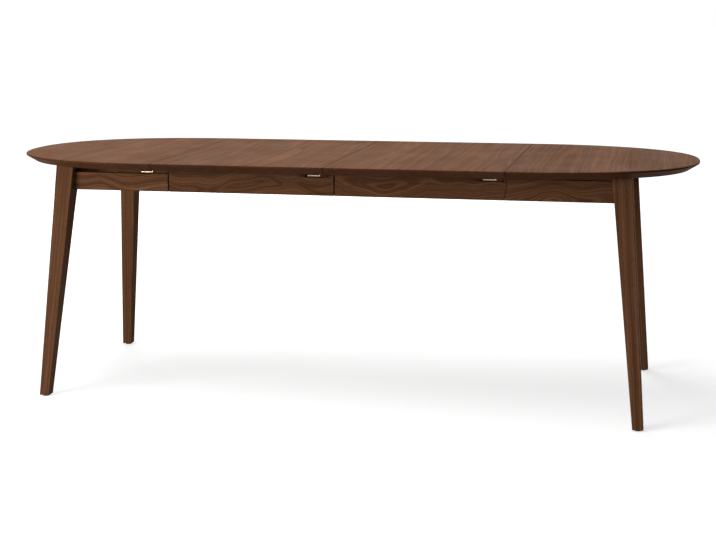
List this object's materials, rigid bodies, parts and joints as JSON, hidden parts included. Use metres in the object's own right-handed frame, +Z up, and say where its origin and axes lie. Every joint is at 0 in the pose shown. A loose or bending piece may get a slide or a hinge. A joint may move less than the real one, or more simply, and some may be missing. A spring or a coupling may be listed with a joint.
{
  "type": "butterfly leaf table",
  "caption": "Oval extending dining table with splayed tapered legs; the ends slide apart on geared wooden runners and a hinged butterfly leaf unfolds between them.",
  "frame": {"origin": "on the floor under the middle of the open table", "axes": "+X along the table to its right end, +Y to its back, +Z up"},
  "size_m": [2.143, 0.82, 0.75],
  "materials": {
    "top_wood": "brown stained solid wood, satin lacquer",
    "apron_wood": "brown stained solid wood, satin lacquer",
    "leg_wood": "brown stained solid wood, satin lacquer",
    "batten_wood": "brown stained wood, thin lacquer",
    "runner_wood": "waxed beech",
    "gear_steel": "machined steel, oiled",
    "hinge_brass": "brushed brass",
    "zinc_steel": "bright zinc-plated steel",
    "glide_nylon": "brown nylon"
  },
  "bodies": {
    "centre": {"leaf_1_top": "top_wood", "leaf_1_battens": "batten_wood", "leaf_1_front_apron": "apron_wood", "leaf_1_back_apron": "apron_wood", "centre_rails": "runner_wood", "centre_racks": "gear_steel", "centre_cross_ties": "runner_wood", "leaf_hinges_fixed": "hinge_brass", "lock_bases_middle": "zinc_steel", "lock_keepers_left": "zinc_steel", "screws_centre": "zinc_steel"},
    "leaf_2": {"leaf_2_top": "top_wood", "leaf_2_battens": "batten_wood", "leaf_2_front_apron": "apron_wood", "leaf_2_back_apron": "apron_wood", "leaf_hinges_moving": "hinge_brass", "lock_bases_right": "zinc_steel", "lock_keepers_middle": "zinc_steel", "screws_leaf_2": "zinc_steel"},
    "left_end": {"left_top": "top_wood", "left_cleats": "batten_wood", "left_front_apron": "apron_wood", "left_back_apron": "apron_wood", "left_end_apron": "apron_wood", "left_front_leg": "leg_wood", "left_back_leg": "leg_wood", "left_corner_blocks": "batten_wood", "left_leg_bolts": "zinc_steel", "left_glides": "glide_nylon", "left_rails": "runner_wood", "left_rack": "gear_steel", "lock_bases_left": "zinc_steel", "screws_left": "zinc_steel"},
    "right_end": {"right_top": "top_wood", "right_cleats": "batten_wood", "right_front_apron": "apron_wood", "right_back_apron": "apron_wood", "right_end_apron": "apron_wood", "right_front_leg": "leg_wood", "right_back_leg": "leg_wood", "right_corner_blocks": "batten_wood", "right_leg_bolts": "zinc_steel", "right_glides": "glide_nylon", "right_rails": "runner_wood", "right_rack": "gear_steel", "lock_keepers_right": "zinc_steel", "screws_right": "zinc_steel"},
    "left_middle": {"left_middle_rails": "runner_wood", "left_middle_rack": "gear_steel"},
    "right_middle": {"right_middle_rails": "runner_wood", "right_middle_rack": "gear_steel"},
    "centre_pinion": {"centre_pinion": "gear_steel"},
    "left_stage_pinion": {"left_stage_pinion": "gear_steel"},
    "right_stage_pinion": {"right_stage_pinion": "gear_steel"},
    "lock_lever_left_front": {"lock_lever_left_front": "zinc_steel"},
    "lock_lever_left_back": {"lock_lever_left_back": "zinc_steel"},
    "lock_lever_middle_front": {"lock_lever_middle_front": "zinc_steel"},
    "lock_lever_middle_back": {"lock_lever_middle_back": "zinc_steel"},
    "lock_lever_right_front": {"lock_lever_right_front": "zinc_steel"},
    "lock_lever_right_back": {"lock_lever_right_back": "zinc_steel"}
  },
  "joints": [
    {"name": "right_end_slide", "type": "slide", "parent": "centre", "child": "right_end", "axis": [1, 0, 0], "range_m": [0, 0.04]},
    {"name": "left_end_slide", "type": "slide", "parent": "centre", "child": "left_end", "axis": [-1, 0, 0], "range_m": [0, 0.04]},
    {"name": "right_middle_slide", "type": "slide", "parent": "centre", "child": "right_middle", "axis": [1, 0, 0], "range_m": [0, 0.02]},
    {"name": "left_middle_slide", "type": "slide", "parent": "centre", "child": "left_middle", "axis": [-1, 0, 0], "range_m": [0, 0.02]},
    {"name": "centre_pinion_turn", "type": "hinge", "parent": "centre", "child": "centre_pinion", "pos_m": [0, 0, 0.6955], "axis": [0, 0, 1], "range_deg": [-82, 0]},
    {"name": "right_stage_pinion_turn", "type": "hinge", "parent": "right_middle", "child": "right_stage_pinion", "pos_m": [0.265, 0.0226, 0.6825], "axis": [0, 0, 1], "range_deg": [-82, 0]},
    {"name": "left_stage_pinion_turn", "type": "hinge", "parent": "left_middle", "child": "left_stage_pinion", "pos_m": [-0.265, -0.0226, 0.6825], "axis": [0, 0, 1], "range_deg": [-82, 0]},
    {"name": "leaf_fold", "type": "hinge", "parent": "centre", "child": "leaf_2", "pos_m": [0, 0, 0.7504], "axis": [0, -1, 0], "range_deg": [0, 180]},
    {"name": "lock_lever_left_front_swing", "type": "hinge", "parent": "left_end", "child": "lock_lever_left_front", "pos_m": [-0.56, -0.262, 0.7175], "axis": [0, 0, -1], "range_deg": [0, 90]},
    {"name": "lock_lever_left_back_swing", "type": "hinge", "parent": "left_end", "child": "lock_lever_left_back", "pos_m": [-0.56, 0.262, 0.7175], "axis": [0, 0, 1], "range_deg": [0, 90]},
    {"name": "lock_lever_middle_front_swing", "type": "hinge", "parent": "centre", "child": "lock_lever_middle_front", "pos_m": [-0.03, -0.262, 0.7175], "axis": [0, 0, -1], "range_deg": [0, 90]},
    {"name": "lock_lever_middle_back_swing", "type": "hinge", "parent": "centre", "child": "lock_lever_middle_back", "pos_m": [-0.03, 0.262, 0.7175], "axis": [0, 0, 1], "range_deg": [0, 90]},
    {"name": "lock_lever_right_front_swing", "type": "hinge", "parent": "leaf_2", "child": "lock_lever_right_front", "pos_m": [0.5, -0.262, 0.7175], "axis": [0, 0, -1], "range_deg": [0, 90]},
    {"name": "lock_lever_right_back_swing", "type": "hinge", "parent": "leaf_2", "child": "lock_lever_right_back", "pos_m": [0.5, 0.262, 0.7175], "axis": [0, 0, 1], "range_deg": [0, 90]}
  ],
  "couplings": [
    {"joint": "left_end_slide", "follows": "right_end_slide", "ratio": 1},
    {"joint": "right_middle_slide", "follows": "right_end_slide", "ratio": 0.5},
    {"joint": "left_middle_slide", "follows": "right_end_slide", "ratio": 0.5},
    {"joint": "centre_pinion_turn", "follows": "right_end_slide", "rad_per_m": -35.714},
    {"joint": "right_stage_pinion_turn", "follows": "right_end_slide", "rad_per_m": -35.714},
    {"joint": "left_stage_pinion_turn", "follows": "right_end_slide", "rad_per_m": -35.714}
  ]
}
